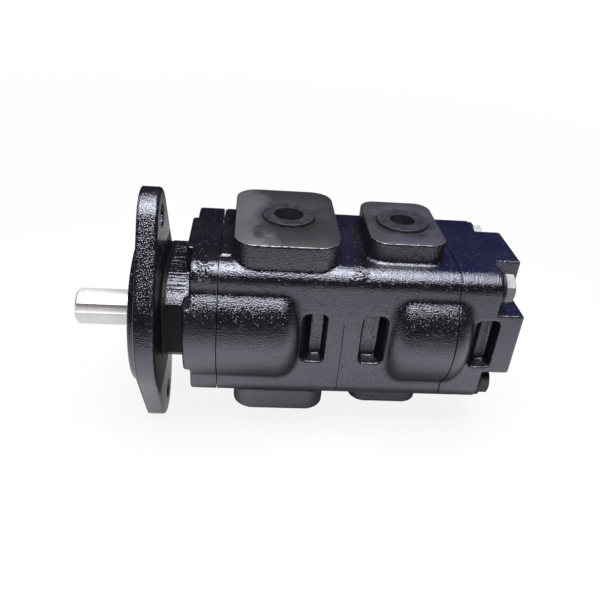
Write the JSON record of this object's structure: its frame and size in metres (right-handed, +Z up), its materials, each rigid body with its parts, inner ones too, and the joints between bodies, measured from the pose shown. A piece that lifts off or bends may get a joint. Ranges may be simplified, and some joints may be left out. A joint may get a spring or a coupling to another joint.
{
  "type": "tandem hydraulic gear pump",
  "caption": "Tandem external gear pump: bolted cast iron housings behind an oval mounting flange, keyed drive shaft, coupled gear sections, threaded ports on bosses above and below.",
  "frame": {"origin": "centre of the mounting face on the drive shaft axis", "axes": "+X along the drive shaft from the mounting face towards the end cover, the shaft end points to -X; +Y from the drive shaft to the idler gears; +Z up, towards the plugged outlet ports; the flange bolt holes lie on Z"},
  "size_m": [0.3103, 0.146, 0.182],
  "materials": {
    "black_cast_iron": "semi-gloss black paint on sand-cast iron, machined port faces bare",
    "bush_bronze": "machined bearing bronze",
    "plate_aluminium": "machined",
    "seal_rubber": "matte nitrile",
    "ground_steel": "ground and polished",
    "zinc_plated_steel": "bright zinc plating, one head overpainted black",
    "plug_plastic": "dark satin"
  },
  "bodies": {
    "housing": {"mounting_cover": "black_cast_iron", "front_gear_housing": "black_cast_iron", "rear_gear_housing": "black_cast_iron", "end_cover": "black_cast_iron", "cover_drive_bush": "bush_bronze", "cover_idler_bush": "bush_bronze", "front_housing_drive_bush": "bush_bronze", "front_housing_idler_bush": "bush_bronze", "rear_housing_drive_bush": "bush_bronze", "rear_housing_idler_bush": "bush_bronze", "end_cover_drive_bush": "bush_bronze", "end_cover_idler_bush": "bush_bronze", "front_section_front_plate": "plate_aluminium", "front_section_rear_plate": "plate_aluminium", "rear_section_front_plate": "plate_aluminium", "rear_section_rear_plate": "plate_aluminium", "front_section_front_plate_seal": "seal_rubber", "front_section_rear_plate_seal": "seal_rubber", "rear_section_front_plate_seal": "seal_rubber", "rear_section_rear_plate_seal": "seal_rubber", "front_joint_seal": "seal_rubber", "middle_joint_seal": "seal_rubber", "rear_joint_seal": "seal_rubber", "shaft_seal": "seal_rubber", "seal_retaining_ring": "ground_steel", "front_joint_upper_dowel": "ground_steel", "front_joint_lower_dowel": "ground_steel", "middle_joint_upper_dowel": "ground_steel", "middle_joint_lower_dowel": "ground_steel", "rear_joint_upper_dowel": "ground_steel", "rear_joint_lower_dowel": "ground_steel", "through_bolt_1": "zinc_plated_steel", "through_bolt_2": "zinc_plated_steel", "through_bolt_3": "zinc_plated_steel", "through_bolt_4": "zinc_plated_steel", "bolt_washer_1": "zinc_plated_steel", "bolt_washer_2": "zinc_plated_steel", "bolt_washer_3": "zinc_plated_steel", "bolt_washer_4": "zinc_plated_steel"},
    "drive": {"drive_shaft": "ground_steel", "coupling_sleeve": "ground_steel", "rear_drive_gear": "ground_steel"},
    "front_idler": {"front_idler_gear": "ground_steel"},
    "rear_idler": {"rear_idler_gear": "ground_steel"},
    "front_plug": {"front_port_plug": "plug_plastic"},
    "rear_plug": {"rear_port_plug": "plug_plastic"}
  },
  "joints": [
    {"name": "shaft_spin", "type": "hinge", "parent": "housing", "child": "drive", "pos_m": [0.08, 0, 0], "axis": [1, 0, 0], "continuous": true},
    {"name": "front_idler_spin", "type": "hinge", "parent": "housing", "child": "front_idler", "pos_m": [0.08, 0.042, 0], "axis": [1, 0, 0], "continuous": true},
    {"name": "rear_idler_spin", "type": "hinge", "parent": "housing", "child": "rear_idler", "pos_m": [0.08, 0.042, 0], "axis": [1, 0, 0], "continuous": true},
    {"name": "front_plug_pull", "type": "slide", "parent": "housing", "child": "front_plug", "axis": [0, 0, 1], "range_m": [0, 0.03]},
    {"name": "rear_plug_pull", "type": "slide", "parent": "housing", "child": "rear_plug", "axis": [0, 0, 1], "range_m": [0, 0.03]}
  ],
  "couplings": [
    {"joint": "front_idler_spin", "follows": "shaft_spin", "ratio": -1},
    {"joint": "rear_idler_spin", "follows": "shaft_spin", "ratio": -1}
  ]
}
